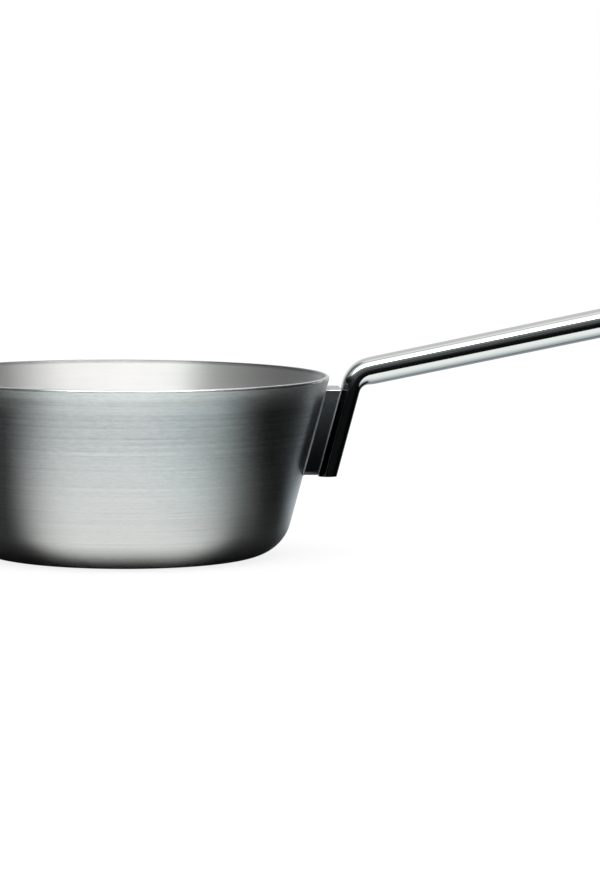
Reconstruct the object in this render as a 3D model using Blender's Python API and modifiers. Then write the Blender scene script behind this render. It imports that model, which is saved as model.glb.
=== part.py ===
"""Deep saute pan: a tapered clad body with a bent steel tube handle on a stand-off bracket.

Units are metres and +Z is up. The origin is on the body's axis, on the surface that the
base stands on, and the handle leaves the body along +X.
"""

from math import acos, ceil, cos, degrees, pi, radians, sin, tan

import bmesh
import bpy
from mathutils import Vector

# Body: one disc of three bonded layers, drawn into a tapered bowl
RIM_RADIUS = 0.100
BODY_HEIGHT = 0.0877
WALL_LEAN = radians(14.7)
CORNER_RADIUS = 0.0209
OUTER_SKIN_THICKNESS = 0.0006
CORE_THICKNESS = 0.0009
INNER_SKIN_THICKNESS = 0.0006
BOND_LINE = 0.0002

# Bracket: the steel block that holds the handle off the wall
BRACKET_WIDTH = 0.0260
BRACKET_TOP = 0.0815
BRACKET_BOTTOM = 0.0399
BRACKET_STANDOFF = 0.0067
BRACKET_EDGE_RADIUS = 0.0008

# Handle: an oval tube, pressed flatter below its bend, and welded flat to the bracket
TUBE_WALL = 0.0012
LEG_THICKNESS = 0.0089
LEG_OVERHANG = 0.0014
GRIP_THICKNESS_AT_BEND = 0.0134
GRIP_THICKNESS_AT_END = 0.0142
GRIP_FLAT = 0.0016
GRIP_RISE = radians(11.9)
GRIP_LENGTH = 0.152
KNEE_HEIGHT = 0.0881
BEND_RADIUS = 0.0108
PRESSED_RUN_BELOW_BEND = 0.002
PRESSED_RUN_ABOVE_BEND = 0.003

# Closing pieces of the tube: a plate in the leg's foot and a solid tip with the hanging hole
FOOT_PLATE_THICKNESS = 0.0015
FOOT_PLATE_RECESS = 0.0004
TIP_LENGTH = 0.032
TIP_SPIGOT_LENGTH = 0.012
HANGING_HOLE_RADIUS = 0.0045
HANGING_HOLE_TO_END = 0.0125
HANGING_HOLE_EDGE_RADIUS = 0.0010

# Clearance between pieces that seat on or in each other
SEAT_GAP = 0.0003

# Fineness of the facets
TURN_STEPS = 72
CORNER_STEPS = 6
RIM_STEP = radians(24)
HALF_ROUND_STEPS = 10
BEND_STEPS = 12
DOME_STEPS = 6
HOLE_STEPS = 32
EDGE_SEGMENTS = 3
WELD_DISTANCE = 0.00001

WALL_THICKNESS = OUTER_SKIN_THICKNESS + CORE_THICKNESS + INNER_SKIN_THICKNESS + 2 * BOND_LINE


def new_collection(name):
    """Link a new collection to the scene."""
    collection = bpy.data.collections.new(name)
    bpy.context.scene.collection.children.link(collection)
    return collection


def metal(name, colour, roughness):
    """Make a bare metal material."""
    material = bpy.data.materials.new(name)
    material.use_nodes = True
    shader = material.node_tree.nodes["Principled BSDF"]
    shader.inputs["Base Color"].default_value = (*colour, 1.0)
    shader.inputs["Metallic"].default_value = 1.0
    shader.inputs["Roughness"].default_value = roughness
    material.diffuse_color = (*colour, 1.0)
    return material


def add_object(name, mesh, collection, material=None, parent=None, location=(0, 0, 0), rotation=(0, 0, 0)):
    """Put a mesh in the scene as one named piece."""
    piece = bpy.data.objects.new(name, mesh)
    collection.objects.link(piece)
    piece.parent = parent
    piece.location = location
    piece.rotation_euler = rotation
    if material:
        mesh.materials.append(material)
    return piece


def mesh_from_bmesh(name, shape):
    """Turn a bmesh into a smooth-shaded mesh with sharp creases."""
    mesh = bpy.data.meshes.new(name)
    shape.to_mesh(mesh)
    shape.free()
    mesh.shade_smooth()
    mesh.set_sharp_from_angle(angle=radians(40))
    return mesh


# Body geometry, in the plane of the profile: x is the radius and y is the height
UP_THE_WALL = Vector((sin(WALL_LEAN), cos(WALL_LEAN)))
INTO_THE_WALL = Vector((-cos(WALL_LEAN), sin(WALL_LEAN)))
RIM_CENTRE = Vector((RIM_RADIUS - WALL_THICKNESS / 2, BODY_HEIGHT - WALL_THICKNESS / 2))
OUTER_FACE_TOP = RIM_CENTRE - INTO_THE_WALL * WALL_THICKNESS / 2


def wall_radius(height):
    """Return the radius of the wall's outer face at a height on its straight part."""
    return OUTER_FACE_TOP.x - (OUTER_FACE_TOP.y - height) * tan(WALL_LEAN)


def base_corner_centre():
    """Return the centre of the round between wall and base, tangent to both outer faces."""
    reach = CORNER_RADIUS - (CORNER_RADIUS - OUTER_FACE_TOP.y) * sin(WALL_LEAN)
    return Vector((OUTER_FACE_TOP.x - reach / cos(WALL_LEAN), CORNER_RADIUS))


def wall_to_axis(depth):
    """Trace the surface at one depth below the outer face, from the foot of the wall to the axis."""
    centre = base_corner_centre()
    radius = CORNER_RADIUS - depth
    points = []
    for step in range(CORNER_STEPS + 1):
        angle = -WALL_LEAN - (pi / 2 - WALL_LEAN) * step / CORNER_STEPS
        points.append(centre + radius * Vector((cos(angle), sin(angle))))
    points.append(Vector((0, depth)))
    return points


def rim_arc(inner_depth, outer_depth):
    """Trace one layer's share of the full-round rim, from its inner to its outer face."""
    start = acos(max(-1, 1 - 2 * inner_depth / WALL_THICKNESS))
    end = acos(1 - 2 * outer_depth / WALL_THICKNESS)
    steps = ceil((start - end) / RIM_STEP)
    points = []
    for step in range(steps + 1):
        angle = start + (end - start) * step / steps
        across = -cos(angle) * WALL_THICKNESS / 2
        along = sin(angle) * WALL_THICKNESS / 2
        points.append(RIM_CENTRE + across * INTO_THE_WALL + along * UP_THE_WALL)
    return points


def body_layer(name, outer_depth, thickness, collection, material, parent):
    """Turn one layer of the clad body: up its inner face, over the rim and down its outer face."""
    inner_depth = outer_depth + thickness
    profile = list(reversed(wall_to_axis(inner_depth)))
    profile += rim_arc(inner_depth, outer_depth)
    profile += wall_to_axis(outer_depth)
    mesh = bpy.data.meshes.new(name)
    points = [(point.x, 0, point.y) for point in profile]
    edges = [(index, index + 1) for index in range(len(points) - 1)]
    mesh.from_pydata(points, edges, [])
    layer = add_object(name, mesh, collection, material, parent)
    screw = layer.modifiers.new("Turn", "SCREW")
    screw.axis = "Z"
    screw.angle = 2 * pi
    screw.steps = TURN_STEPS
    screw.render_steps = TURN_STEPS
    screw.use_merge_vertices = True
    screw.merge_threshold = WELD_DISTANCE
    return layer


def wall_cutter(collection):
    """Make the cone that trims what seats on the wall, one seat gap outside the wall."""
    top = BODY_HEIGHT
    bottom = CORNER_RADIUS
    gap = SEAT_GAP / cos(WALL_LEAN)
    shape = bmesh.new()
    bmesh.ops.create_cone(shape, cap_ends=True, segments=TURN_STEPS, depth=top - bottom,
                          radius1=wall_radius(bottom) + gap, radius2=wall_radius(top) + gap)
    cutter = add_object("wall_cutter", mesh_from_bmesh("wall_cutter", shape), collection)
    cutter.location.z = (top + bottom) / 2
    return cutter


def handle_bracket(collection, cutters, material, parent):
    """Shear a block to the wall's lean, round its edges and trim its back to the wall."""
    height = BRACKET_TOP - BRACKET_BOTTOM
    middle = (BRACKET_TOP + BRACKET_BOTTOM) / 2
    standoff = BRACKET_STANDOFF / cos(WALL_LEAN)
    buried = standoff
    shape = bmesh.new()
    bmesh.ops.create_cube(shape, size=1)
    for vertex in shape.verts:
        vertex.co.x = (vertex.co.x + 0.5) * (standoff + buried) - buried
        vertex.co.x += vertex.co.z * height * tan(WALL_LEAN)
        vertex.co.y *= BRACKET_WIDTH
        vertex.co.z *= height
    seat = (wall_radius(middle), 0, middle)
    bracket = add_object("handle_bracket", mesh_from_bmesh("handle_bracket", shape),
                         collection, material, parent, seat)
    rounding = bracket.modifiers.new("Rounded edges", "BEVEL")
    rounding.width = BRACKET_EDGE_RADIUS
    rounding.segments = EDGE_SEGMENTS
    trim = bracket.modifiers.new("Seat on the wall", "BOOLEAN")
    trim.operation = "DIFFERENCE"
    trim.solver = "EXACT"
    trim.object = wall_cutter(cutters)
    return bracket


def oval(thickness, flat):
    """Trace a flattened tube's section: two half rounds joined by two flats.

    The first coordinate runs across the thickness and the second along Y.
    """
    points = []
    for side in (1, -1):
        for step in range(HALF_ROUND_STEPS + 1):
            angle = -pi / 2 + pi * step / HALF_ROUND_STEPS
            across = -side * sin(angle) * thickness / 2
            along = side * (cos(angle) * thickness / 2 + flat / 2)
            points.append(Vector((across, along)))
    return points


def pressed_flat(thickness):
    """Return the flat of the pressed tube, whose girth stays that of the grip at the bend."""
    return GRIP_FLAT + (GRIP_THICKNESS_AT_BEND - thickness) * pi / 2


def ring(shape, centre, slope, section, cut_height=None):
    """Place a section square to a path that climbs at the given slope, or cut it level."""
    forward = Vector((cos(slope), 0, sin(slope)))
    upward = Vector((-sin(slope), 0, cos(slope)))
    vertices = []
    for across, along in section:
        point = centre + across * upward + Vector((0, along, 0))
        if cut_height is not None:
            point += forward * (cut_height - point.z) / forward.z
        vertices.append(shape.verts.new(point))
    return vertices


def bridge(shape, first, second):
    """Join two rings of as many points with a band of faces."""
    count = len(first)
    for index in range(count):
        following = (index + 1) % count
        shape.faces.new((first[index], first[following], second[following], second[index]))


# Handle path, in the plane through the body's axis and the handle
LEG_SLOPE = pi / 2 - WALL_LEAN
LEG_OFFSET = (BRACKET_STANDOFF + SEAT_GAP + LEG_THICKNESS / 2) / cos(WALL_LEAN)
KNEE = Vector((wall_radius(KNEE_HEIGHT) + LEG_OFFSET, 0, KNEE_HEIGHT))
LEG_DIRECTION = Vector((cos(LEG_SLOPE), 0, sin(LEG_SLOPE)))
GRIP_DIRECTION = Vector((cos(GRIP_RISE), 0, sin(GRIP_RISE)))
BEND_TURN = LEG_SLOPE - GRIP_RISE
BEND_TANGENT = BEND_RADIUS * tan(BEND_TURN / 2)
LEG_FOOT = BRACKET_BOTTOM - LEG_OVERHANG
GRIP_END = KNEE + GRIP_DIRECTION * (BEND_TANGENT + GRIP_LENGTH)


def tube_stations():
    """List the tube's stations from foot to grip end, as (centre from the knee, slope, thickness, flat)."""
    foot = (LEG_FOOT - KNEE_HEIGHT) / sin(LEG_SLOPE)
    pressing_end = -BEND_TANGENT - PRESSED_RUN_BELOW_BEND
    swelling_end = BEND_TANGENT + PRESSED_RUN_ABOVE_BEND
    places = [(LEG_DIRECTION * foot, LEG_SLOPE), (LEG_DIRECTION * pressing_end, LEG_SLOPE)]
    start = LEG_DIRECTION * -BEND_TANGENT
    towards_centre = Vector((sin(LEG_SLOPE), 0, -cos(LEG_SLOPE)))
    centre = start + towards_centre * BEND_RADIUS
    for step in range(BEND_STEPS + 1):
        slope = LEG_SLOPE - BEND_TURN * step / BEND_STEPS
        outward = Vector((-sin(slope), 0, cos(slope)))
        places.append((centre + outward * BEND_RADIUS, slope))
    places.append((GRIP_DIRECTION * swelling_end, GRIP_RISE))
    places.append((GRIP_DIRECTION * (BEND_TANGENT + GRIP_LENGTH), GRIP_RISE))
    bend_length = BEND_RADIUS * BEND_TURN
    pressed_length = PRESSED_RUN_BELOW_BEND + bend_length + PRESSED_RUN_ABOVE_BEND
    travelled = [0.0, 0.0]
    for step in range(BEND_STEPS + 1):
        travelled.append(PRESSED_RUN_BELOW_BEND + bend_length * step / BEND_STEPS)
    stations = []
    for (place, slope), length in zip(places[:-2], travelled):
        share = length / pressed_length
        swell = share * share * (3 - 2 * share)
        thickness = LEG_THICKNESS + (GRIP_THICKNESS_AT_BEND - LEG_THICKNESS) * swell
        stations.append((place, slope, thickness, pressed_flat(thickness)))
    for (place, slope), thickness in zip(places[-2:], (GRIP_THICKNESS_AT_BEND, GRIP_THICKNESS_AT_END)):
        stations.append((place, slope, thickness, GRIP_FLAT))
    return stations


def handle_tube(collection, material, parent):
    """Loft the hollow tube from the pressed leg through the bend to the grip's end."""
    shape = bmesh.new()
    outer_rings = []
    inner_rings = []
    for index, (place, slope, thickness, flat) in enumerate(tube_stations()):
        cut_height = LEG_FOOT - KNEE_HEIGHT if index == 0 else None
        bore = thickness - 2 * TUBE_WALL
        outer_rings.append(ring(shape, place, slope, oval(thickness, flat), cut_height))
        inner_rings.append(ring(shape, place, slope, oval(bore, flat), cut_height))
    for rings in (outer_rings, inner_rings):
        for first, second in zip(rings, rings[1:]):
            bridge(shape, first, second)
    bridge(shape, outer_rings[0], inner_rings[0])
    bridge(shape, outer_rings[-1], inner_rings[-1])
    bmesh.ops.recalc_face_normals(shape, faces=shape.faces)
    return add_object("handle_tube", mesh_from_bmesh("handle_tube", shape), collection, material, parent, KNEE)


def foot_plate(collection, material, parent):
    """Make the plate that closes the foot of the leg, just inside its bore."""
    thickness = LEG_THICKNESS - 2 * TUBE_WALL - 2 * SEAT_GAP
    section = oval(thickness, pressed_flat(LEG_THICKNESS))
    foot = KNEE + LEG_DIRECTION * (LEG_FOOT - KNEE_HEIGHT) / sin(LEG_SLOPE)
    shape = bmesh.new()
    below = ring(shape, Vector((0, 0, 0)), LEG_SLOPE, section, FOOT_PLATE_RECESS)
    above = ring(shape, Vector((0, 0, 0)), LEG_SLOPE, section, FOOT_PLATE_RECESS + FOOT_PLATE_THICKNESS)
    bridge(shape, below, above)
    shape.faces.new(below)
    shape.faces.new(above)
    bmesh.ops.recalc_face_normals(shape, faces=shape.faces)
    return add_object("foot_plate", mesh_from_bmesh("foot_plate", shape), collection, material, parent, foot)


def hanging_hole_cutter(collection, parent):
    """Turn the spool that cuts the hanging hole and rounds both of its edges."""
    half_height = GRIP_THICKNESS_AT_END / 2
    rounding = []
    for step in range(EDGE_SEGMENTS + 1):
        angle = pi / 2 * step / EDGE_SEGMENTS
        radius = HANGING_HOLE_RADIUS + HANGING_HOLE_EDGE_RADIUS * (1 - cos(angle))
        height = half_height + HANGING_HOLE_EDGE_RADIUS * (sin(angle) - 1)
        rounding.append((radius, height))
    outside = (rounding[-1][0], half_height + HANGING_HOLE_EDGE_RADIUS)
    upper = [(0, outside[1]), outside] + list(reversed(rounding))
    profile = upper + [(radius, -height) for radius, height in reversed(upper)]
    mesh = bpy.data.meshes.new("hanging_hole_cutter")
    points = [(radius, 0, height) for radius, height in profile]
    edges = [(index, index + 1) for index in range(len(points) - 1)]
    mesh.from_pydata(points, edges, [])
    place = (TIP_LENGTH - HANGING_HOLE_TO_END, 0, 0)
    cutter = add_object("hanging_hole_cutter", mesh, collection, parent=parent, location=place)
    screw = cutter.modifiers.new("Turn", "SCREW")
    screw.axis = "Z"
    screw.angle = 2 * pi
    screw.steps = HOLE_STEPS
    screw.render_steps = HOLE_STEPS
    screw.use_merge_vertices = True
    screw.merge_threshold = WELD_DISTANCE
    return cutter


def handle_tip(collection, cutters, material, parent):
    """Loft the solid tip: a spigot in the tube, a shoulder on its end and a domed nose."""
    spigot = GRIP_THICKNESS_AT_END - 2 * TUBE_WALL - 2 * SEAT_GAP
    dome_start = TIP_LENGTH - GRIP_THICKNESS_AT_END / 2
    stations = [(-TIP_SPIGOT_LENGTH, spigot, GRIP_FLAT), (SEAT_GAP, spigot, GRIP_FLAT),
                (SEAT_GAP, GRIP_THICKNESS_AT_END, GRIP_FLAT)]
    for step in range(DOME_STEPS):
        angle = pi / 2 * step / DOME_STEPS
        place = dome_start + sin(angle) * GRIP_THICKNESS_AT_END / 2
        stations.append((place, cos(angle) * GRIP_THICKNESS_AT_END, cos(angle) * GRIP_FLAT))
    shape = bmesh.new()
    rings = []
    for place, thickness, flat in stations:
        rings.append(ring(shape, Vector((place, 0, 0)), 0, oval(thickness, flat)))
    for first, second in zip(rings, rings[1:]):
        bridge(shape, first, second)
    nose = shape.verts.new((TIP_LENGTH, 0, 0))
    last = rings[-1]
    for index in range(len(last)):
        shape.faces.new((last[index], last[(index + 1) % len(last)], nose))
    shape.faces.new(rings[0])
    bmesh.ops.recalc_face_normals(shape, faces=shape.faces)
    tip = add_object("handle_tip", mesh_from_bmesh("handle_tip", shape), collection, material, parent,
                     GRIP_END, (0, -GRIP_RISE, 0))
    cutter = hanging_hole_cutter(cutters, tip)
    hole = tip.modifiers.new("Hanging hole", "BOOLEAN")
    hole.operation = "DIFFERENCE"
    hole.solver = "EXACT"
    hole.object = cutter
    return tip


def build_pan():
    """Build every piece of the pan under one empty."""
    for leftover in list(bpy.data.objects):
        bpy.data.objects.remove(leftover, do_unlink=True)
    parts = new_collection("saute_pan")
    cutters = new_collection("cutters")
    pan = bpy.data.objects.new("saute_pan", None)
    parts.objects.link(pan)

    brushed_steel = metal("brushed steel", (0.60, 0.60, 0.59), 0.32)
    satin_steel = metal("satin steel", (0.66, 0.65, 0.63), 0.28)
    aluminium = metal("aluminium", (0.80, 0.80, 0.81), 0.35)
    fine_steel = metal("fine brushed steel", (0.56, 0.57, 0.58), 0.20)
    polished_steel = metal("polished steel", (0.68, 0.68, 0.67), 0.08)

    core_depth = OUTER_SKIN_THICKNESS + BOND_LINE
    inner_skin_depth = core_depth + CORE_THICKNESS + BOND_LINE
    body_layer("outer_skin", 0, OUTER_SKIN_THICKNESS, parts, brushed_steel, pan)
    body_layer("aluminium_core", core_depth, CORE_THICKNESS, parts, aluminium, pan)
    body_layer("inner_skin", inner_skin_depth, INNER_SKIN_THICKNESS, parts, satin_steel, pan)
    handle_bracket(parts, cutters, fine_steel, pan)
    handle_tube(parts, polished_steel, pan)
    foot_plate(parts, polished_steel, pan)
    handle_tip(parts, cutters, polished_steel, pan)

    for cutter in cutters.objects:
        cutter.hide_render = True
        cutter.display_type = "WIRE"
    bpy.context.view_layer.update()
    print(f"saute pan: wall leans {degrees(WALL_LEAN):.1f} degrees, handle reaches x = {GRIP_END.x:.3f} m")


build_pan()
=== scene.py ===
from math import cos, pi, radians, sin, tan

import bmesh
import bpy
import numpy as np
from mathutils import Matrix


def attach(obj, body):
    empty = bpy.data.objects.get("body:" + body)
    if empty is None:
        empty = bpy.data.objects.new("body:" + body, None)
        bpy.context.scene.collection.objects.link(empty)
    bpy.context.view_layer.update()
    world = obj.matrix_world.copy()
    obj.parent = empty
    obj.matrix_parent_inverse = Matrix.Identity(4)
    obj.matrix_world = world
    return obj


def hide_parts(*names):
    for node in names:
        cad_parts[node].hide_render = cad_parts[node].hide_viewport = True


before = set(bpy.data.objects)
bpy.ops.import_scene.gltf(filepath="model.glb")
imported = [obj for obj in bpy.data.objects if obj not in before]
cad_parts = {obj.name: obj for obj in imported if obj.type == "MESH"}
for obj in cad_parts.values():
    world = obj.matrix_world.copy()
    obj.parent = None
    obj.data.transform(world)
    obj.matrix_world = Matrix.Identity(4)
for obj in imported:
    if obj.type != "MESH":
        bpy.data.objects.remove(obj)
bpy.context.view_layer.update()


# Outer skin: the steel layer that shows on the wall and the base. It is drawn with the two
# layers inside it from one flat disc, and then brushed round the body while it turns.
RIM_RADIUS = 0.100
BODY_HEIGHT = 0.0877
WALL_LEAN = radians(14.7)
WALL_THICKNESS = 0.0025
CORNER_RADIUS = 0.0209
OUTER_SKIN_DEPTHS = (0.0, 0.0006)
STEPS_ROUND_BODY = 288
CORNER_STEPS, BASE_STEPS, WALL_STEPS, RIM_STEPS = 28, 24, 40, 12
CENTRE_RADIUS = 0.0015
BRUSHED_STEEL = (0.517, 0.535, 0.529)
SHARP_FROM = radians(35)

# Marks to the metre along the lay's axes, and bands as (from, to, amount at from, amount at to)
# by height: the brushing sets in above the corner; near the rim a band of painted highlight with a haze,
# taken back at the rim edge, which is polished finer.
SHORT_STROKES = (260, 260, 1100)
LONG_STROKES = (4, 4, 1150)
STROKE_PATCHES = (45, 45, 220)
CLOUDS = (14, 14, 30)
BRUSHING_BAND = (0.010, 0.060, 0.40, 1.0)
PAINTED_HIGHLIGHT_BAND = (0.0745, 0.084, 0.0, 0.86)
HAZY_BAND = (0.076, 0.0855, 0.0, 0.42)
PAINTED_HIGHLIGHT_RIM_CUT = (0.0861, 0.0868, 0.0, -0.97)
POLISHED_EDGE = (0.0862, 0.0867, 0.0, -0.54)

up_the_wall = np.array([sin(WALL_LEAN), cos(WALL_LEAN)])
into_the_wall = np.array([-cos(WALL_LEAN), sin(WALL_LEAN)])
rim_centre = np.array([RIM_RADIUS - WALL_THICKNESS / 2, BODY_HEIGHT - WALL_THICKNESS / 2])
outer_face_top = rim_centre - into_the_wall * WALL_THICKNESS / 2


def wall_radius(height):
    """The wall's outer face is a cone: its radius at the top less the drop times the lean's tangent."""
    return outer_face_top[0] - (outer_face_top[1] - height) * tan(WALL_LEAN)


def along_line(start, end, steps):
    """Points at equal steps from start to end: start plus a share of the way, without the end."""
    share = np.linspace(0, 1, steps, endpoint=False)[:, None]
    return np.asarray(start) + share * (np.asarray(end) - np.asarray(start))


def skin_profile(outer_depth, inner_depth):
    """One layer's outline, as (radius, height), at two depths below the body's outer face.

    Inside: along the base, round a corner arc of the corner's radius less the depth, and up the
    wall. Over the rim: the layer's share of a half circle as wide as the wall. Outside: back
    down in the same way to the axis.
    """
    reach = CORNER_RADIUS - (CORNER_RADIUS - outer_face_top[1]) * sin(WALL_LEAN)
    centre = np.array([outer_face_top[0] - reach / cos(WALL_LEAN), CORNER_RADIUS])

    def face(depth):
        angle = np.linspace(-pi / 2, -WALL_LEAN, CORNER_STEPS)
        arc = centre + (CORNER_RADIUS - depth) * np.column_stack([np.cos(angle), np.sin(angle)])
        base = along_line((CENTRE_RADIUS, depth), arc[0], BASE_STEPS)
        wall_top = outer_face_top + depth * into_the_wall
        wall = along_line(arc[-1], wall_top, WALL_STEPS)[1:]
        return np.vstack([base, arc, wall])

    over = np.arccos(np.clip(1 - 2 * np.array([inner_depth, outer_depth]) / WALL_THICKNESS, -1, 1))
    turn = np.linspace(over[0], over[1], RIM_STEPS)[:, None]
    rim = rim_centre + WALL_THICKNESS / 2 * (np.sin(turn) * up_the_wall - np.cos(turn) * into_the_wall)
    return np.vstack([face(inner_depth), rim, face(outer_depth)[::-1]])


def turned_rings(profile, steps):
    """Turn a profile about the body's axis: (radius cos a, radius sin a, height) for steps angles a."""
    angle = np.linspace(0, 2 * pi, steps, endpoint=False)
    radius, height = profile[:, 0, None], profile[:, 1, None]
    return np.stack([radius * np.cos(angle), radius * np.sin(angle),
                     np.broadcast_to(height, (len(profile), steps))], axis=2)


def path_length(points):
    """Distance travelled along a line of points: the running sum of the steps between them."""
    return np.concatenate([[0], np.cumsum(np.linalg.norm(np.diff(points, axis=0), axis=1))])


def turned_lay(profile, steps):
    """Brushing coordinates: a circle of one radius round the axis, and the distance along the profile."""
    circle = np.column_stack([np.full(len(profile), RIM_RADIUS), path_length(profile)])
    return turned_rings(circle, steps)


def steel_piece(name, rings, lay, material, looped=False):
    """Skin a stack of closed rings and give the piece to the body it rides on.

    Each cell of the grid (ring, place round the ring) is one quad with the next ring and the
    next place, and both wrap round. A looped stack also joins its last ring to its first; any
    other is closed at both ends by a fan to the end ring's mean point.
    """
    count, around = rings.shape[:2]
    index = np.arange(count * around).reshape(count, around)
    beside = np.roll(index, -1, axis=1)
    rows = slice(None) if looped else slice(0, count - 1)
    above, above_beside = np.roll(index, -1, axis=0)[rows], np.roll(beside, -1, axis=0)[rows]
    faces = np.stack([index[rows], beside[rows], above_beside, above], axis=2).reshape(-1, 4).tolist()
    points, strokes = rings.reshape(-1, 3), lay.reshape(-1, 3)
    if not looped:
        points = np.vstack([points, rings[0].mean(axis=0), rings[-1].mean(axis=0)])
        strokes = np.vstack([strokes, lay[0].mean(axis=0), lay[-1].mean(axis=0)])
        for ring, far, middle in ((0, beside[0], count * around), (-1, beside[-1], count * around + 1)):
            faces += np.column_stack([index[ring], far, np.full(around, middle)]).tolist()
    mesh = bpy.data.meshes.new(name)
    mesh.from_pydata(points.tolist(), [], faces)
    mesh.attributes.new("lay", "FLOAT_VECTOR", "POINT").data.foreach_set("vector", strokes.ravel())
    shape = bmesh.new()
    shape.from_mesh(mesh)
    bmesh.ops.recalc_face_normals(shape, faces=shape.faces)
    shape.to_mesh(mesh)
    shape.free()
    mesh.shade_smooth()
    mesh.set_sharp_from_angle(angle=SHARP_FROM)
    mesh.materials.append(material)
    piece = bpy.data.objects.new(name, mesh)
    bpy.context.scene.collection.objects.link(piece)
    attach(piece, "root")
    return piece


class Nodes:
    """The shader nodes of one tree: each method adds a node or two and returns its output."""

    def __init__(self, tree):
        self.tree = tree

    def feed(self, socket, value):
        """Link an output to a socket, or set the socket to a number, a vector or a colour."""
        if isinstance(value, bpy.types.NodeSocket):
            self.tree.links.new(value, socket)
        elif socket.type == "RGBA":
            socket.default_value = (*value, 1)
        else:
            socket.default_value = value

    def node(self, kind, inputs=(), **settings):
        """Add a node, set its properties, and feed its inputs, given as (socket, value) pairs."""
        made = self.tree.nodes.new(kind)
        for key, value in settings.items():
            setattr(made, key, value)
        for key, value in inputs:
            self.feed(made.inputs[key], value)
        return made

    def math(self, operation, first, *others):
        """Arithmetic on values from left to right, or on one value alone."""
        if not others:
            return self.node("ShaderNodeMath", [(0, first)], operation=operation).outputs["Value"]
        for other in others:
            inputs = [(0, first), (1, other)]
            first = self.node("ShaderNodeMath", inputs, operation=operation).outputs["Value"]
        return first

    def plus(self, *values):
        return self.math("ADD", *values)

    def times(self, *values):
        return self.math("MULTIPLY", *values)

    def most(self, *values):
        return self.math("MAXIMUM", *values)

    def split(self, vector):
        """The three parts of a vector."""
        return self.node("ShaderNodeSeparateXYZ", [("Vector", vector)]).outputs

    def ramp(self, value, start, end, low=0.0, high=1.0, form="LINEAR"):
        """A climb from low to high while the value goes from start to end, level outside them."""
        inputs = [("Value", value), ("From Min", start), ("From Max", end),
                  ("To Min", low), ("To Max", high)]
        return self.node("ShaderNodeMapRange", inputs, interpolation_type=form).outputs["Result"]

    def step(self, value, start, end, low=0.0, high=1.0):
        """A ramp that sets in and ends softly."""
        return self.ramp(value, start, end, low, high, "SMOOTHSTEP")

    def blend(self, share, first, second, form="MIX"):
        """A colour between two by a share, or the second worked into the first in another form."""
        inputs = [("Factor", share), (6, first), (7, second)]
        return self.node("ShaderNodeMix", inputs, data_type="RGBA", blend_type=form).outputs[2]


class Finish(Nodes):
    """A metal surface: a colour and a roughness, varied by marks that follow the piece's lay."""

    def __init__(self, name, colour, roughness, anisotropy=0.0):
        self.material = bpy.data.materials.new(name)
        self.material.use_nodes = True
        super().__init__(self.material.node_tree)
        self.metal = self.tree.nodes["Principled BSDF"]
        for key, value in (("Base Color", colour), ("Metallic", 1.0), ("Roughness", roughness),
                           ("Anisotropic", anisotropy)):
            self.feed(self.metal.inputs[key], value)
        self.colour = colour
        self.roughness = roughness

    def lay(self):
        """The piece's own brushing coordinates, kept on its mesh."""
        return self.node("ShaderNodeAttribute", attribute_name="lay").outputs["Vector"]

    def own_place(self):
        """The object's own coordinates."""
        return self.node("ShaderNodeTexCoord").outputs["Object"]

    def height(self):
        """Height over the table."""
        return self.split(self.own_place())["Z"]

    def strokes(self, scale, detail, lay=True):
        """Noise stretched by a scale for each axis of the lay, or of the object: long and thin marks."""
        placed = self.node("ShaderNodeMapping", [("Vector", self.lay() if lay else self.own_place()),
                                                 ("Scale", scale)]).outputs["Vector"]
        inputs = [("Vector", placed), ("Scale", 1.0), ("Detail", detail), ("Roughness", 0.6)]
        return self.node("ShaderNodeTexNoise", inputs).outputs["Fac"]

    def spread(self, noise, low, high):
        """Map a noise's middle range onto low to high."""
        return self.ramp(noise, 0.3, 0.7, low, high)

    def shade(self, brightness):
        """Multiply the metal's colour by a brightness."""
        self.feed(self.metal.inputs["Base Color"], self.blend(1.0, self.colour, brightness, "MULTIPLY"))

    def roughen(self, *amounts):
        """Add varying amounts to the metal's own roughness."""
        self.feed(self.metal.inputs["Roughness"], self.plus(*amounts, self.roughness))

    def scratch(self, height, depth):
        """Raise and lower the surface by a height texture."""
        bump = self.node("ShaderNodeBump", [("Height", height), ("Strength", 1.0), ("Distance", depth)])
        self.feed(self.metal.inputs["Normal"], bump.outputs["Normal"])

    def brush_round_axis(self):
        """Lay the brushing round the body's axis, so that highlights stretch up and down the wall."""
        tangent = self.node("ShaderNodeTangent", direction_type="RADIAL", axis="Z")
        self.feed(self.metal.inputs["Tangent"], tangent.outputs["Tangent"])
        self.metal.inputs["Anisotropic Rotation"].default_value = 0.25


outer_steel = Finish("brushed_outer_steel", BRUSHED_STEEL, roughness=0.36, anisotropy=1.0)
outer_steel.brush_round_axis()
short = outer_steel.strokes(SHORT_STROKES, detail=2)
long = outer_steel.strokes(LONG_STROKES, detail=2)
patches = outer_steel.strokes(STROKE_PATCHES, detail=2)
cloudy = outer_steel.strokes(CLOUDS, detail=2)
height = outer_steel.height()
lines = outer_steel.times(outer_steel.spread(long, -0.22, 0.22), outer_steel.spread(patches, 0.1, 1.0))
grain = outer_steel.times(outer_steel.plus(outer_steel.spread(short, -0.10, 0.10), lines),
                          outer_steel.ramp(height, *BRUSHING_BAND))
# Painted highlight: a band under the rim is painted lighter, and the rim edge above it is painted back
# down, a little below the plain colour.
painted_rim_highlight = outer_steel.plus(outer_steel.ramp(height, *PAINTED_HIGHLIGHT_BAND), outer_steel.ramp(height, *PAINTED_HIGHLIGHT_RIM_CUT))
outer_steel.shade(outer_steel.plus(grain, painted_rim_highlight, outer_steel.spread(cloudy, 0.96, 1.05)))
outer_steel.roughen(outer_steel.spread(short, -0.03, 0.03), outer_steel.spread(cloudy, -0.02, 0.02),
                    outer_steel.ramp(height, *HAZY_BAND), outer_steel.ramp(height, *POLISHED_EDGE))
outer_steel.scratch(long, depth=0.000004)

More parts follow.
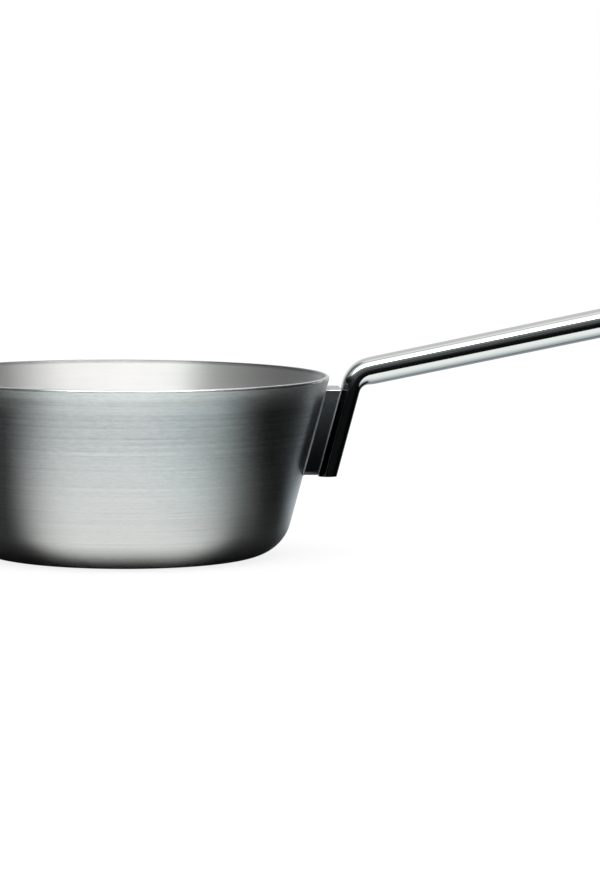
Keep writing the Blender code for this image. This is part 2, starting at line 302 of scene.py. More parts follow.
outer_profile = skin_profile(*OUTER_SKIN_DEPTHS)
outer_skin = steel_piece("outer_steel_skin", turned_rings(outer_profile, STEPS_ROUND_BODY),
                         turned_lay(outer_profile, STEPS_ROUND_BODY), outer_steel.material)
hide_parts("outer_skin")


# Aluminium core: the layer that spreads the heat. It is rolled together with both steel
# layers before drawing, and it shows only as a paler line in the polished rim.
CORE_DEPTHS = (0.00065, 0.00185)
ALUMINIUM = (0.80, 0.80, 0.81)
ROLLED_LINES = (30, 30, 3000)

core_metal = Finish("rolled_aluminium", ALUMINIUM, roughness=0.30, anisotropy=0.6)
core_metal.brush_round_axis()
rolled = core_metal.strokes(ROLLED_LINES, detail=4)
core_metal.shade(core_metal.spread(rolled, 0.94, 1.04))
core_metal.roughen(core_metal.spread(rolled, -0.04, 0.04))
core_metal.scratch(rolled, depth=0.000003)

core_profile = skin_profile(*CORE_DEPTHS)
core = steel_piece("aluminium_heat_core", turned_rings(core_profile, STEPS_ROUND_BODY),
                   turned_lay(core_profile, STEPS_ROUND_BODY), core_metal.material)
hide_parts("aluminium_core")


# Inner skin: the steel cooking surface, finished finer than the outside with a satin pad,
# which leaves soft rings on the wall and on the floor of the pan.
INNER_SKIN_DEPTHS = (0.0019, 0.0025)
SATIN_STEEL = (0.80, 0.79, 0.785)
SATIN_LINES = (20, 20, 2600)
SMUDGES = (18, 18, 24)
PAINTED_RIM_SHADE = (0.0858, 0.0872, 0.0, -0.62)

inner_steel = Finish("satin_inner_steel", SATIN_STEEL, roughness=0.42, anisotropy=0.9)
inner_steel.brush_round_axis()
satin = inner_steel.strokes(SATIN_LINES, detail=4)
smudges = inner_steel.strokes(SMUDGES, detail=3)
# Painted dark reflection: the top of the inner skin, over its rim edge, is painted darker.
painted_rim_shade = inner_steel.ramp(inner_steel.height(), *PAINTED_RIM_SHADE)
inner_steel.shade(inner_steel.plus(inner_steel.spread(satin, -0.03, 0.03),
                                   inner_steel.spread(smudges, 0.97, 1.03), painted_rim_shade))
inner_steel.roughen(inner_steel.spread(satin, -0.02, 0.02), inner_steel.spread(smudges, -0.03, 0.03))
inner_steel.scratch(satin, depth=0.000003)

inner_profile = skin_profile(*INNER_SKIN_DEPTHS)
inner_skin = steel_piece("inner_steel_skin", turned_rings(inner_profile, STEPS_ROUND_BODY),
                         turned_lay(inner_profile, STEPS_ROUND_BODY), inner_steel.material)
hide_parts("inner_skin")


# Bracket: the steel block that holds the handle off the wall. It is cut from a bar, ground
# on its faces, rounded on its edges, shaped at its back to the wall and welded on.
BRACKET_WIDTH = 0.0260
BRACKET_TOP = 0.0815
BRACKET_BOTTOM = 0.0399
BRACKET_STANDOFF = 0.0067
BRACKET_EDGE_RADIUS = 0.0008
SEAT_GAP = 0.0003
BRACKET_STEPS_ROUND_EDGE = 8
BRACKET_STEPS_ACROSS_FACE = 12
BRACKET_STEPS_ACROSS_BACK = 26
BRACKET_STEPS_UP = 24
GROUND_STEEL = (0.50, 0.515, 0.53)
GRINDING_LINES = (60, 60, 2400)
DULLING_UPWARD = (0.0455, 0.0795, -0.12, 0.12)
PAINTED_UNDERSIDE_SHADE = (0.0, 1.0, 1.0, 0.12)


def bracket_outline(height, inset):
    """The bracket's outline at one height, drawn in by an inset: (x, y) points.

    Front: a straight line at the wall's radius plus the stand-off. Corners: quarter circles.
    Sides: straight, at half the width. Back: the arc of the wall, where x squared plus y
    squared is the wall's radius squared.
    """
    front = wall_radius(height) + BRACKET_STANDOFF / cos(WALL_LEAN) - inset
    back_radius = wall_radius(height) + SEAT_GAP / cos(WALL_LEAN)
    half = BRACKET_WIDTH / 2 - inset
    radius = max(BRACKET_EDGE_RADIUS - inset, 0.00005)
    turn = np.linspace(0, pi / 2, BRACKET_STEPS_ROUND_EDGE)
    corner = np.column_stack([front - radius + radius * np.sin(turn),
                              -half + radius - radius * np.cos(turn)])
    face_y = np.linspace(-half + radius, half - radius, BRACKET_STEPS_ACROSS_FACE + 2)[1:-1]
    face = np.column_stack([np.full(BRACKET_STEPS_ACROSS_FACE, front), face_y])
    back_y = np.linspace(half, -half, BRACKET_STEPS_ACROSS_BACK)
    back = np.column_stack([np.sqrt(back_radius ** 2 - back_y ** 2), back_y])
    return np.vstack([corner, face, corner[::-1] * (1, -1), back])


def bracket_rings():
    """Stack outlines from bottom to top, drawn in near both ends as a quarter circle does.

    At a distance d from an end, less than the edge radius r, the inset is r - sqrt(r^2 - (r - d)^2).
    """
    r = BRACKET_EDGE_RADIUS
    rounding = r * (1 - np.cos(np.linspace(0, pi / 2, BRACKET_STEPS_ROUND_EDGE)))
    heights = np.concatenate([BRACKET_BOTTOM + rounding,
                              np.linspace(BRACKET_BOTTOM + r, BRACKET_TOP - r, BRACKET_STEPS_UP)[1:-1],
                              BRACKET_TOP - rounding[::-1]])
    to_end = np.minimum(np.minimum(heights - BRACKET_BOTTOM, BRACKET_TOP - heights), r)
    insets = r - np.sqrt(np.maximum(r ** 2 - (r - to_end) ** 2, 0))
    return np.stack([np.column_stack([outline, np.full(len(outline), height)]) for outline, height in
                     zip(map(bracket_outline, heights, insets), heights)])


ground_steel = Finish("ground_bracket_steel", GROUND_STEEL, roughness=0.18)
ground = ground_steel.strokes(GRINDING_LINES, detail=3, lay=False)
# Painted light: the rounded front edges are painted brighter as a highlight, and the underside with its
# lower rounded edge is painted darker as shade.
bright_painted_edges, painted_shade_underside = ground_steel.split(ground_steel.lay())[:2]
grain_and_painted_highlight = ground_steel.plus(ground_steel.spread(ground, 0.96, 1.04), ground_steel.times(bright_painted_edges, 0.8))
ground_steel.shade(ground_steel.times(grain_and_painted_highlight, ground_steel.ramp(painted_shade_underside, *PAINTED_UNDERSIDE_SHADE)))
ground_steel.roughen(ground_steel.spread(ground, -0.02, 0.02), ground_steel.times(bright_painted_edges, 0.40),
                     ground_steel.ramp(ground_steel.height(), *DULLING_UPWARD))
ground_steel.scratch(ground, depth=0.000001)

block = bracket_rings()
# The bracket's lay carries two masks: X marks the rounded front edges for the painted highlight, Y the
# underside for the painted shade.
painted_light_marks = np.zeros_like(block)
round_edge = np.sin(np.linspace(0, pi, BRACKET_STEPS_ROUND_EDGE))
far_edge = BRACKET_STEPS_ROUND_EDGE + BRACKET_STEPS_ACROSS_FACE
painted_light_marks[:, :BRACKET_STEPS_ROUND_EDGE, 0] = round_edge
painted_light_marks[:, far_edge:far_edge + BRACKET_STEPS_ROUND_EDGE, 0] = round_edge
painted_light_marks[:BRACKET_STEPS_ROUND_EDGE, :, 1] = 1
bracket = steel_piece("handle_bracket_block", block, painted_light_marks, ground_steel.material)
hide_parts("handle_bracket")


# Bracket weld: the thin bead that joins the bracket to the wall all round. It is run in one
# pass and polished down, so that only a narrow bright line shows.
WELD_RADIUS = 0.00034
WELD_STEEL = (0.66, 0.66, 0.65)
RIPPLES = (900, 900, 900)
WELD_CORNER_RADIUS = 0.0012
WELD_CORNER_STEPS, WELD_SIDE_STEPS = 7, 24


def tube_round(path, radius, steps):
    """Carry a circle along a closed path: each ring lies across the path's direction there.

    The direction is the difference of the neighbours, one axis of the circle is the direction
    crossed with the radius from the body's axis, and the other is crossed with both.
    """
    ahead = np.roll(path, -1, axis=0) - np.roll(path, 1, axis=0)
    ahead /= np.linalg.norm(ahead, axis=1)[:, None]
    outward = path * (1, 1, 0)
    across = np.cross(ahead, outward)
    across /= np.linalg.norm(across, axis=1)[:, None]
    lift = np.cross(across, ahead)
    angle = np.linspace(0, 2 * pi, steps, endpoint=False)[:, None]
    return path[:, None] + radius * (np.cos(angle) * across[:, None] + np.sin(angle) * lift[:, None])


def weld_path():
    """A rounded rectangle round the bracket's back, laid on the wall.

    Across it is y and up it is the height; x is the root of the wall's radius squared less y squared.
    """
    half_width, radius = BRACKET_WIDTH / 2, WELD_CORNER_RADIUS
    middle, half_height = (BRACKET_TOP + BRACKET_BOTTOM) / 2, (BRACKET_TOP - BRACKET_BOTTOM) / 2
    straight = np.array([half_width, half_height]) - radius
    turn = np.linspace(0, pi / 2, WELD_CORNER_STEPS)
    quarter = np.column_stack([np.cos(turn), np.sin(turn)]) * radius
    corners = [quarter + straight, quarter[::-1] * (-1, 1) + straight * (-1, 1),
               -quarter - straight, quarter[::-1] * (1, -1) + straight * (1, -1)]
    loop = []
    for corner, following in zip(corners, corners[1:] + corners[:1]):
        loop += [corner, along_line(corner[-1], following[0], WELD_SIDE_STEPS)[1:]]
    across, rise = np.vstack(loop).T
    height = middle + rise
    radius_there = wall_radius(height) + SEAT_GAP / 2
    return np.column_stack([np.sqrt(radius_there ** 2 - across ** 2), across, height])


weld_steel = Finish("polished_weld_steel", WELD_STEEL, roughness=0.50)
ripples = weld_steel.strokes(RIPPLES, detail=2, lay=False)
weld_steel.shade(weld_steel.spread(ripples, 0.92, 1.05))
weld_steel.roughen(weld_steel.spread(ripples, -0.05, 0.08))
weld_steel.scratch(ripples, depth=0.00002)

bead = tube_round(weld_path(), WELD_RADIUS, steps=12)
bracket_weld = steel_piece("bracket_weld_line", bead, bead, weld_steel.material, looped=True)


# Handle tube: one polished stainless tube. Its grip is nearly round; from the bend down it is
# pressed flatter, so that its leg seats along the bracket, and it keeps its girth all the way.
TUBE_WALL = 0.0012
LEG_THICKNESS = 0.0089
LEG_OVERHANG = 0.0014
GRIP_THICKNESS_AT_BEND = 0.0134
GRIP_THICKNESS_AT_END = 0.0142
GRIP_FLAT = 0.0016
GRIP_RISE = radians(11.9)
GRIP_LENGTH = 0.152
KNEE_HEIGHT = 0.0881
BEND_RADIUS = 0.0108
PRESSED_RUN_BELOW_BEND = 0.002
PRESSED_RUN_ABOVE_BEND = 0.003
FOOT_EDGE_RUN = 0.003
LEG_STEPS, BEND_STEPS, GRIP_STEPS = 10, 60, 24
POLISHED_STEEL = (0.70, 0.70, 0.69)

leg_slope = pi / 2 - WALL_LEAN
leg_offset = (BRACKET_STANDOFF + SEAT_GAP + LEG_THICKNESS / 2) / cos(WALL_LEAN)
knee = np.array([wall_radius(KNEE_HEIGHT) + leg_offset, 0, KNEE_HEIGHT])
leg_direction = np.array([cos(leg_slope), 0, sin(leg_slope)])
grip_direction = np.array([cos(GRIP_RISE), 0, sin(GRIP_RISE)])
bend_turn = leg_slope - GRIP_RISE
bend_tangent = BEND_RADIUS * tan(bend_turn / 2)
leg_foot = BRACKET_BOTTOM - LEG_OVERHANG
leg_length = (KNEE_HEIGHT - leg_foot) / sin(leg_slope) - bend_tangent
bend_length = BEND_RADIUS * bend_turn
grip_end = knee + grip_direction * (bend_tangent + GRIP_LENGTH)


def oval_section(thickness, flat, steps=20):
    """A pressed tube's section: two half circles of the thickness, moved apart by the flat.

    For a turn a from -90 to 90 degrees, across is half the thickness times -sin a, and along
    (Y) is half the thickness times cos a plus half the flat. The other side is turned by 180.
    """
    angle = np.linspace(-pi / 2, pi / 2, steps)
    side = np.column_stack([-np.sin(angle) * thickness / 2, np.cos(angle) * thickness / 2 + flat / 2])
    return np.vstack([side, -side])


def handle_path(travelled):
    """Centre and slope at distances from the foot: a line, a circular bend, and a line again.

    In the bend the slope falls in proportion to the distance, and the centre lies one bend
    radius outward from the bend's centre.
    """
    in_bend = np.clip(travelled - leg_length, 0, bend_length)
    slope = leg_slope - in_bend / BEND_RADIUS
    bend_centre = (knee - leg_direction * bend_tangent
                   + BEND_RADIUS * np.array([sin(leg_slope), 0, -cos(leg_slope)]))
    outward = np.column_stack([-np.sin(slope), np.zeros_like(slope), np.cos(slope)])
    on_bend = bend_centre + BEND_RADIUS * outward
    before = np.minimum(travelled - leg_length, 0)[:, None] * leg_direction
    after = np.maximum(travelled - leg_length - bend_length, 0)[:, None] * grip_direction
    return on_bend + before + after, slope


def tube_thickness(travelled):
    """Thickness at distances from the foot: pressed, then a smooth step up, then a slow taper."""
    start = leg_length - PRESSED_RUN_BELOW_BEND
    run = PRESSED_RUN_BELOW_BEND + bend_length + PRESSED_RUN_ABOVE_BEND
    share = np.clip((travelled - start) / run, 0, 1)
    swell = share * share * (3 - 2 * share)
    rest = leg_length + bend_length + GRIP_LENGTH - start - run
    taper = np.clip((travelled - start - run) / rest, 0, 1)
    return (LEG_THICKNESS + (GRIP_THICKNESS_AT_BEND - LEG_THICKNESS) * swell
            + (GRIP_THICKNESS_AT_END - GRIP_THICKNESS_AT_BEND) * taper)


def tube_rings(travelled, depth):
    """Place a section at each distance, at a depth below the tube's surface.

    The flat grows by a quarter turn's worth of what the thickness loses, which keeps the girth.
    A point is the centre plus across times the path's upward normal plus along times Y. The
    first ring is cut level: its points slide along the leg to the foot's height.
    """
    centre, slope = handle_path(travelled)
    thickness = tube_thickness(travelled)
    flat = GRIP_FLAT + np.maximum(GRIP_THICKNESS_AT_BEND - thickness, 0) * pi / 2
    section = np.stack([oval_section(t, f) for t, f in zip(thickness - 2 * depth, flat)])
    upward = np.column_stack([-np.sin(slope), np.zeros_like(slope), np.cos(slope)])
    rings = centre[:, None] + section[..., 0, None] * upward[:, None]
    rings[..., 1] += section[..., 1]
    rings[0] += (leg_foot - rings[0, :, 2, None]) / leg_direction[2] * leg_direction
    strokes = np.concatenate([section, np.broadcast_to(travelled[:, None, None], section.shape[:2] + (1,))],
                             axis=2)
    return rings, strokes


pressed_until = leg_length - PRESSED_RUN_BELOW_BEND
round_from = leg_length + bend_length + PRESSED_RUN_ABOVE_BEND
tube_length = leg_length + bend_length + GRIP_LENGTH
travelled = np.concatenate([[0], np.linspace(FOOT_EDGE_RUN, pressed_until, LEG_STEPS),
                            np.linspace(pressed_until, round_from, BEND_STEPS)[1:],
                            np.linspace(round_from, tube_length, GRIP_STEPS)[1:]])
outside, outside_strokes = tube_rings(travelled, 0)
inside, inside_strokes = tube_rings(travelled, TUBE_WALL)

# Painted shade: the side of the leg next to the bracket is painted darker, in a strip up to the bend.
PAINTED_SHADE_STRIP_START = (0.0002, 0.0016, 1.0, 0.15)
PAINTED_SHADE_STRIP_END = (0.0037, 0.0041)
PAINTED_SHADE_STRIP_TOP = (0.047, 0.050)
POLISH_LINES = (2600, 2600, 16)
HANDLING_MARKS = (160, 160, 40)

polished_steel = Finish("polished_handle_steel", POLISHED_STEEL, roughness=0.04)
polish = polished_steel.strokes(POLISH_LINES, detail=3)
handling = polished_steel.strokes(HANDLING_MARKS, detail=3)
across_leg, _, along = polished_steel.split(polished_steel.lay())
painted_leg_side_shade = polished_steel.most(polished_steel.ramp(across_leg, *PAINTED_SHADE_STRIP_START),
                                  polished_steel.ramp(across_leg, *PAINTED_SHADE_STRIP_END),
                                  polished_steel.ramp(along, *PAINTED_SHADE_STRIP_TOP))
polished_steel.shade(polished_steel.times(painted_leg_side_shade, polished_steel.spread(handling, 0.97, 1.02)))
polished_steel.roughen(polished_steel.spread(polish, 0.0, 0.04), polished_steel.spread(handling, 0.0, 0.02))
polished_steel.scratch(polish, depth=0.000001)

tube = steel_piece("polished_handle_tube", np.vstack([outside, inside[::-1]]),
                   np.vstack([outside_strokes, inside_strokes[::-1]]), polished_steel.material, looped=True)
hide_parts("handle_tube")


# Foot plate: the small plate that closes the leg's lower end. It is set just inside the bore,
# welded and polished flush with the tube's edge.
FOOT_PLATE_THICKNESS = 0.0015
FOOT_PLATE_RECESS = 0.0004
FOOT_PLATE_EDGE = 0.00025


def foot_plate_rings():
    """Level slices of the leg's bore, with the lower edge drawn in as a quarter circle does.

    Each point of the section slides along the leg to the slice's height.
    """
    centre = knee + leg_direction * (leg_foot - KNEE_HEIGHT) / leg_direction[2]
    upward = np.array([-sin(leg_slope), 0, cos(leg_slope)])
    flat = GRIP_FLAT + (GRIP_THICKNESS_AT_BEND - LEG_THICKNESS) * pi / 2
    turn = np.linspace(0, pi / 2, num=5)
    insets = np.concatenate([FOOT_PLATE_EDGE * (1 - np.sin(turn)), [0]])
    heights = leg_foot + np.concatenate([FOOT_PLATE_RECESS + FOOT_PLATE_EDGE * (1 - np.cos(turn)),
                                         [FOOT_PLATE_RECESS + FOOT_PLATE_THICKNESS]])
    bore = LEG_THICKNESS - 2 * TUBE_WALL - SEAT_GAP / 2
    section = np.stack([oval_section(bore - 2 * inset, flat) for inset in insets])
    rings = centre + section[..., 0, None] * upward + section[..., 1, None] * np.array([0, 1, 0])
    return rings + (heights[:, None, None] - rings[..., 2, None]) / leg_direction[2] * leg_direction


plate = foot_plate_rings()
foot_plate = steel_piece("leg_foot_plate", plate, plate, polished_steel.material)
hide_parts("foot_plate")


# Handle tip: the solid end of the handle, turned and drilled. A spigot sits in the tube, the
# shoulder is ground flush with it, and the hanging hole has rounded edges.
TIP_LENGTH = 0.032
TIP_SPIGOT_LENGTH = 0.012
TIP_SEAM = 0.00012
TIP_SHOULDER_EDGE = 0.0002
TIP_SHANK = (0.0015, 0.0246)
TIP_SHANK_STEPS = 56
HANGING_HOLE_RADIUS = 0.0045
HANGING_HOLE_TO_END = 0.0125
HANGING_HOLE_EDGE_RADIUS = 0.0010
DRILL_OVERRUN = 0.002


def tip_rings():
    """Sections along the tip: the spigot, the shoulder's rounded edge, the shank and a dome.

    On the shoulder a section is drawn in by r - sqrt(r^2 - (r - d)^2), at a distance d from the
    seam. On the dome thickness and flat fall as the cosine of a quarter turn, and the place moves
    as its sine.
    """
    full, r = GRIP_THICKNESS_AT_END, TIP_SHOULDER_EDGE
    spigot = full - 2 * TUBE_WALL - SEAT_GAP
    edge = r * (1 - np.cos(np.linspace(0, pi / 2, num=4)))
    dome = np.linspace(0, pi / 2, num=28)[:-1]
    shank = np.linspace(*TIP_SHANK, TIP_SHANK_STEPS)
    places = np.concatenate([[-TIP_SPIGOT_LENGTH, TIP_SEAM], TIP_SEAM + edge, shank,
                             TIP_LENGTH - full / 2 + np.sin(dome) * full / 2])
    sizes = np.concatenate([[spigot / full] * 2, 1 - 2 * (r - np.sqrt(r ** 2 - (r - edge) ** 2)) / full,
                            np.ones(TIP_SHANK_STEPS), np.cos(dome)])
    section = np.stack([oval_section(full * size, GRIP_FLAT * min(1, size), steps=40) for size in sizes])
    upward = np.array([-sin(GRIP_RISE), 0, cos(GRIP_RISE)])
    rings = (grip_end + places[:, None, None] * grip_direction + section[..., 0, None] * upward
             + section[..., 1, None] * np.array([0, 1, 0]))
    along = np.broadcast_to(places[:, None, None], section.shape[:2] + (1,))
    return rings, np.concatenate([section, along], axis=2)


def hole_rings():
    """The hanging hole's spool: circles of the hole's radius across the tip.

    They open out at both faces by the edge radius times one less the cosine of a quarter turn.
    """
    half = GRIP_THICKNESS_AT_END / 2
    turn = np.linspace(0, pi / 2, num=9)
    radius = HANGING_HOLE_RADIUS + HANGING_HOLE_EDGE_RADIUS * (1 - np.cos(turn))
    height = half + HANGING_HOLE_EDGE_RADIUS * (np.sin(turn) - 1)
    radius, height = np.append(radius, radius[-1]), np.append(height, half + DRILL_OVERRUN)
    profile = np.vstack([np.column_stack([radius, height])[::-1], np.column_stack([radius, -height])])
    spool = turned_rings(profile, steps=72)
    turned = np.array(Matrix.Rotation(-GRIP_RISE, 3, "Y"))
    return grip_end + (TIP_LENGTH - HANGING_HOLE_TO_END) * grip_direction + spool @ turned.T


rings, strokes = tip_rings()
tip = steel_piece("drilled_handle_tip", rings, strokes, polished_steel.material)
spool = hole_rings()
drill = steel_piece("hanging_hole_drill", spool, spool, polished_steel.material)
hole = tip.modifiers.new("Hanging hole", "BOOLEAN")
hole.operation = "DIFFERENCE"
hole.solver = "EXACT"
hole.object = drill
drilled = bpy.data.meshes.new_from_object(tip.evaluated_get(bpy.context.evaluated_depsgraph_get()))
tip.modifiers.clear()
tip.data = drilled
bpy.data.objects.remove(drill)
drilled.shade_smooth()
drilled.set_sharp_from_angle(angle=SHARP_FROM)
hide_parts("handle_tip")


# Studio: a pale table under the pan, soft light from above, and a white backdrop. Metal also
# sees the black flags that stand in front of the pan and at its sides, below the soft light.
# Each step below is (from, to, light at from, light at to): 0 and 1 where they are left out.
WHITE = (1.0, 1.0, 1.0)

# The soft light: a ceiling that is dimmer at the back, with a bright box in it on the camera's
# side. Its foot hangs lower by the sink and the lift, its left is dimmer, its right brighter.
BOX_TURN = radians(5)
BOX_WIDTH = (0.165, 0.835, 0.0, 7.4)
BOX_TOP = (0.97, 0.85)
BOX_FOOT = (0.74, 0.80)
CEILING = (-0.3, 0.6, 1.6, 0.72)
LIGHT_FOOT = (0.72, 0.775)
SINK_LEFT = (0.25, -0.10)
SINK_BACK = 0.65
SINK_SLOPE = 0.31
LIFT_LEFT = (-0.4, -0.7, 0.0, 0.06)
LIFT_LEFT_END = (-0.95, -0.84)
LIFT_RIGHT = (0.75, 0.95, 0.0, 0.03)
LEFT_END = (-0.80, -0.94, 1.0, 0.45)
RIGHT_END = (0.75, 1.0, 1.0, 1.6)
BACK_LEFT_SIDE = (-0.45, -0.75)
BACK_LEFT_DEPTH = (0.0, 0.4)
BACK_LEFT_LOSS = (0.94, 0.88, 0.0, 0.75)

# The glow of the table further out, and what is dimmer: the room, a streak in it, the backdrop.
GLOW_TOP = (-0.43, -0.47)
GLOW_DEPTH = (-0.72, 0.55, 1.2, 0.32)
GLOW_LEFT = (-0.86, -0.50)
GLOW_FRONT = (-0.15, 0.80)
GLOW_BACK = (-0.70, -0.95)
GLOW_BELOW = (-0.85, -0.95)
STREAK_FOOT = (0.26, 0.31, 0.0, 0.11)
STREAK_TOP = (0.38, 0.33)
LOW_ROOM = (-0.02, 0.28, 0.006, 0.05)
LOW_ROOM_RIGHT = (0.75, 0.95, 1.0, 0.3)
HIGH_ROOM = (0.36, 0.66, 0.0, 0.22)
HIGH_ROOM_LEFT = (-0.4, -0.85, 1.0, 0.3)
BACKDROP_WIDTH = (0.60, 1.0)
BACKDROP_HEIGHT = (-0.5, 0.1, 0.4, 0.75)
BACKDROP_LOW = (-0.05, -0.30)
BACKDROP_LEFT = (-0.65, -0.40)

# The tints of the dim parts, of the light from below, and of the light from above.
DIM_TINTS = ((0.89, 1.0, 1.07), (0.92, 1.0, 0.965))
DIM_TINT_HEIGHTS = (0.15, 0.45)
LOW_TINTS = ((0.955, 1.0, 0.975), (0.90, 1.0, 1.0))
LOW_TINT_SIDES = (0.2, 0.9)
HIGH_TINTS = (WHITE, (0.90, 1.0, 0.94))
HIGH_TINT_SIDES = (-0.5, -0.95)
LOW_TO_HIGH = (-0.45, -0.35)
DIM_TO_LIT = (0.3, 0.9)


def flat_length(nodes, first, second):
    """The root of the sum of two squares."""
    return nodes.math("SQRT", nodes.plus(nodes.times(first, first), nodes.times(second, second)))


def share_of(nodes, part, whole):
    """One value over another, which is kept above a thousandth."""
    return nodes.math("DIVIDE", part, nodes.most(whole, 0.001))


def to_camera(nodes, right, away, turn):
    """How far a flat vector points towards the camera: right times sin a less away times cos a."""
    return nodes.plus(nodes.times(right, sin(turn)), nodes.times(away, -cos(turn)))


world = bpy.data.worlds.new("studio")
world.use_nodes = True
world.node_tree.nodes.clear()
bpy.context.scene.world = world
sky = Nodes(world.node_tree)
x, y, z = sky.split(sky.node("ShaderNodeTexCoord").outputs["Generated"])
level = flat_length(sky, x, y)
beside, behind = share_of(sky, x, level), share_of(sky, y, level)
before = share_of(sky, to_camera(sky, x, y, BOX_TURN), level)

sink = sky.times(sky.step(x, *SINK_LEFT), sky.most(sky.times(sky.plus(y, SINK_BACK), SINK_SLOPE), 0.0))
lift = sky.plus(sky.times(sky.step(beside, *LIFT_LEFT), sky.step(beside, *LIFT_LEFT_END)),
                sky.step(beside, *LIFT_RIGHT))
soft_box = sky.times(sky.step(before, *BOX_WIDTH), sky.step(z, *BOX_TOP),
                     sky.step(sky.plus(z, lift), *BOX_FOOT))
back_left = sky.times(sky.step(beside, *BACK_LEFT_SIDE), sky.step(behind, *BACK_LEFT_DEPTH),
                      sky.step(z, *BACK_LEFT_LOSS))
soft_light = sky.times(sky.step(sky.plus(z, sink, lift), *LIGHT_FOOT),
                       sky.plus(soft_box, sky.step(y, *CEILING)),
                       sky.step(beside, *LEFT_END), sky.step(beside, *RIGHT_END),
                       sky.math("SUBTRACT", 1.0, back_left))

glow_sides = sky.math("MINIMUM", sky.step(x, *GLOW_LEFT), sky.most(
    sky.step(before, *GLOW_FRONT), sky.step(before, *GLOW_BACK), sky.step(z, *GLOW_BELOW)))
table_glow = sky.times(sky.step(z, *GLOW_TOP), sky.step(y, *GLOW_DEPTH), glow_sides)
room = sky.plus(sky.times(sky.step(z, *LOW_ROOM), sky.step(beside, *LOW_ROOM_RIGHT)),
                sky.times(sky.step(z, *HIGH_ROOM), sky.step(beside, *HIGH_ROOM_LEFT)),
                sky.times(sky.step(z, *STREAK_FOOT), sky.step(z, *STREAK_TOP)))
backdrop = sky.times(sky.step(behind, *BACKDROP_WIDTH), sky.step(z, *BACKDROP_HEIGHT),
                     sky.most(sky.step(z, *BACKDROP_LOW), sky.step(beside, *BACKDROP_LEFT)))

seen_in_metal = sky.node("ShaderNodeLightPath").outputs["Is Glossy Ray"]
strength = sky.plus(sky.times(seen_in_metal, sky.most(soft_light, table_glow, room, backdrop)),
                    sky.math("SUBTRACT", 1.0, seen_in_metal))
lit_tint = sky.blend(sky.step(z, *LOW_TO_HIGH), sky.blend(sky.step(beside, *LOW_TINT_SIDES), *LOW_TINTS),
                     sky.blend(sky.step(beside, *HIGH_TINT_SIDES), *HIGH_TINTS))
dim_tint = sky.blend(sky.step(z, *DIM_TINT_HEIGHTS), *DIM_TINTS)
tint = sky.blend(sky.step(strength, *DIM_TO_LIT), dim_tint, lit_tint)
background = sky.node("ShaderNodeBackground", [("Color", sky.blend(seen_in_metal, WHITE, tint)),
                                               ("Strength", strength)])
sky.node("ShaderNodeOutputWorld", [("Surface", background.outputs[0])])


# Table: plain white to the camera, which sees its glow and a share of the paper with the pan's
# shadow. Metal sees painted light on it: a glow like a fan towards the front, a painted shadow
# where the pan stands, and the table only as far as its edges.
FLOOR_SIZE = 8.0
PAPER_WHITE = (0.9, 0.9, 0.9)
GLOW_TO_CAMERA = 1.05
GLOW_SHARE = 0.8
TABLE_RADIUS = 0.125
TABLE_FRONT = 0.27
TABLE_BACK = 0.24
TABLE_RIGHT = 0.134
TABLE_EDGE_TO_FRONT = (0.1, 0.5, TABLE_RADIUS, TABLE_FRONT)
TABLE_EDGE_TO_BACK = (-0.6, -0.9, TABLE_RADIUS, TABLE_BACK)
TABLE_LIGHT = (0.115, 0.170, 1.70, 1.853)
TABLE_LIGHT_FAR = (0.180, 0.225, 1.0, 1.25)
FAN_TURN = radians(3)
FAN_START = (0.03, -0.03, 0.15, 0.40)
FAN_END = (0.03, -0.03, 1.0, 0.84)
FAN_HALF_WIDTH = 0.178
FAN_EDGE = (1.0, 0.82)
BACK_OF_TABLE = (-0.5, -0.95, 0.0, 0.75)
SHADE_REACH = (0.99, 0.5, 0.072, 0.105)
SHADE_FADE = 0.018
DIM_TABLE = (0.070, 0.115, 0.003, 0.04)
NEAR_TINTS = ((1.0, 0.98, 0.955), (0.965, 0.99, 0.965))
NEAR_TINT_SIDES = (0.03, 0.10)
FAR_TINTS = ((0.955, 1.0, 1.045), (0.85, 1.0, 1.045))
FAR_TINT_SIDES = (0.02, 0.09)
NEAR_TO_FAR = (0.11, 0.17)

half = FLOOR_SIZE / 2
floor_mesh = bpy.data.meshes.new("floor")
corners = [(-half, -half, 0), (half, -half, 0), (half, half, 0), (-half, half, 0)]
floor_mesh.from_pydata(corners, [], [(0, 1, 2, 3)])
floor = bpy.data.objects.new("floor", floor_mesh)
bpy.context.scene.collection.objects.link(floor)
floor_material = bpy.data.materials.new("pale_table")
floor_material.use_nodes = True
floor_material.node_tree.nodes.clear()
floor_mesh.materials.append(floor_material)
table = Nodes(floor_material.node_tree)
across, deep = table.split(table.node("ShaderNodeTexCoord").outputs["Object"])[:2]
reach = flat_length(table, across, deep)
towards_front = share_of(table, to_camera(table, across, deep, FAN_TURN), reach)

fan = table.step(towards_front, table.step(across, *FAN_START), table.step(across, *FAN_END))
oval = flat_length(table, table.math("DIVIDE", across, FAN_HALF_WIDTH),
                   table.math("DIVIDE", deep, TABLE_FRONT))
lit_part = table.most(table.times(table.step(oval, *FAN_EDGE), fan),
                      table.step(towards_front, *BACK_OF_TABLE))
# The pan's painted shadow in the glow that metal sees.
past_shade = table.math("SUBTRACT", reach, table.step(towards_front, *SHADE_REACH))
open_table = table.most(table.times(table.step(past_shade, 0.0, SHADE_FADE), lit_part),
                        table.step(reach, *DIM_TABLE))
table_light = table.times(table.step(reach, *TABLE_LIGHT), table.step(reach, *TABLE_LIGHT_FAR))
table_tint = table.blend(table.step(reach, *NEAR_TO_FAR),
                         table.blend(table.step(across, *NEAR_TINT_SIDES), *NEAR_TINTS),
                         table.blend(table.step(across, *FAR_TINT_SIDES), *FAR_TINTS))

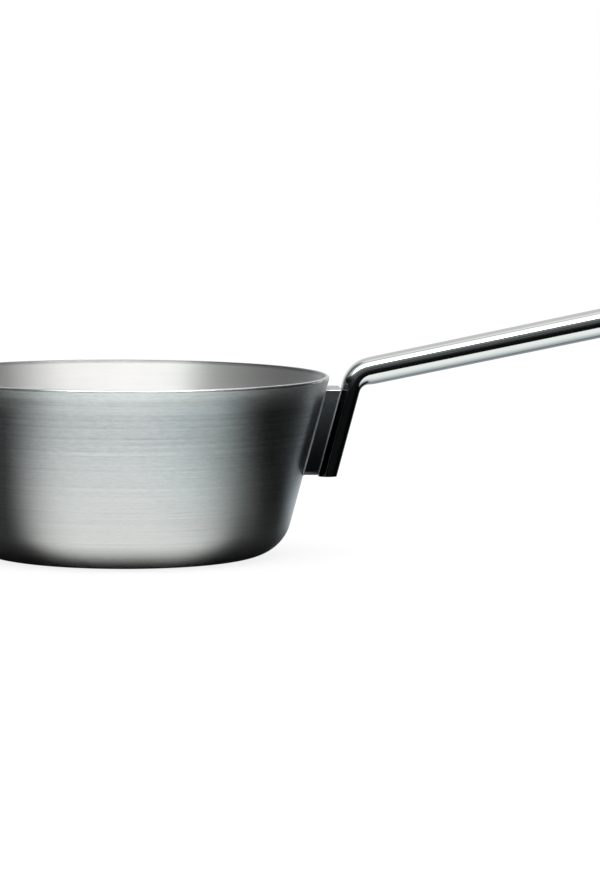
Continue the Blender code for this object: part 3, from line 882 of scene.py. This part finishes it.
rays = table.node("ShaderNodeLightPath").outputs
in_metal, in_camera = rays["Is Glossy Ray"], rays["Is Camera Ray"]
paper = table.node("ShaderNodeBsdfDiffuse", [("Color", PAPER_WHITE)])
glow_strength = table.plus(table.times(in_metal, open_table, table_light),
                           table.times(in_camera, GLOW_TO_CAMERA))
glow = table.node("ShaderNodeEmission", [("Color", table.blend(in_metal, WHITE, table_tint)),
                                         ("Strength", glow_strength)])
lit = table.node("ShaderNodeMixShader", [("Fac", table.plus(in_metal, table.times(in_camera, GLOW_SHARE))),
                                         (1, paper.outputs[0]), (2, glow.outputs[0])])
edge = table.most(table.step(towards_front, *TABLE_EDGE_TO_FRONT),
                  table.step(towards_front, *TABLE_EDGE_TO_BACK))
past_edge = table.most(table.math("GREATER_THAN", reach, edge),
                       table.math("GREATER_THAN", across, TABLE_RIGHT))
clear = table.node("ShaderNodeBsdfTransparent")
cut = table.node("ShaderNodeMixShader", [("Fac", table.times(in_metal, past_edge)),
                                         (1, lit.outputs[0]), (2, clear.outputs[0])])
table.node("ShaderNodeOutputMaterial", [("Surface", cut.outputs[0])])


# Key light: one large soft lamp above and in front of the pan. It lights what isn't metal and
# fills the shadow under the pan, and metal doesn't mirror it.
KEY_SIZE = 1.6
KEY_POWER = 9
KEY_PLACE = (0.1, -0.2, 1.4)

key = bpy.data.objects.new("key_light", bpy.data.lights.new("key_light", "AREA"))
key.data.shape = "SQUARE"
key.data.size = KEY_SIZE
key.data.energy = KEY_POWER
key.location = KEY_PLACE
key.visible_glossy = False
bpy.context.scene.collection.objects.link(key)


# Camera: two metres in front of the pan and 15 cm above its rim, turned a little down and to
# the right, rolled by a third of a degree, and with a long lens.
CAMERA_PLACE = (0, -2.008, 0.2399)
CAMERA_YAW = 0.0428
CAMERA_PITCH = 0.09015
CAMERA_ROLL = 0.00638
LENS = 171.28
SENSOR = 36.0

ahead = np.array([sin(CAMERA_YAW) * cos(CAMERA_PITCH), cos(CAMERA_YAW) * cos(CAMERA_PITCH),
                  -sin(CAMERA_PITCH)])
right = np.array([cos(CAMERA_YAW), -sin(CAMERA_YAW), 0])
upright = np.cross(right, ahead)
rolled_right = right * cos(CAMERA_ROLL) + upright * sin(CAMERA_ROLL)
rolled_up = upright * cos(CAMERA_ROLL) - right * sin(CAMERA_ROLL)
pose = Matrix.Identity(4)
for column, axis in enumerate((rolled_right, rolled_up, -ahead, CAMERA_PLACE)):
    for row in range(3):
        pose[row][column] = axis[row]
camera = bpy.data.objects.new("camera", bpy.data.cameras.new("camera"))
camera.data.lens = LENS
camera.data.sensor_width = SENSOR
camera.matrix_world = pose
bpy.context.scene.collection.objects.link(camera)
bpy.context.scene.camera = camera
bpy.context.scene.view_settings.view_transform = "Standard"
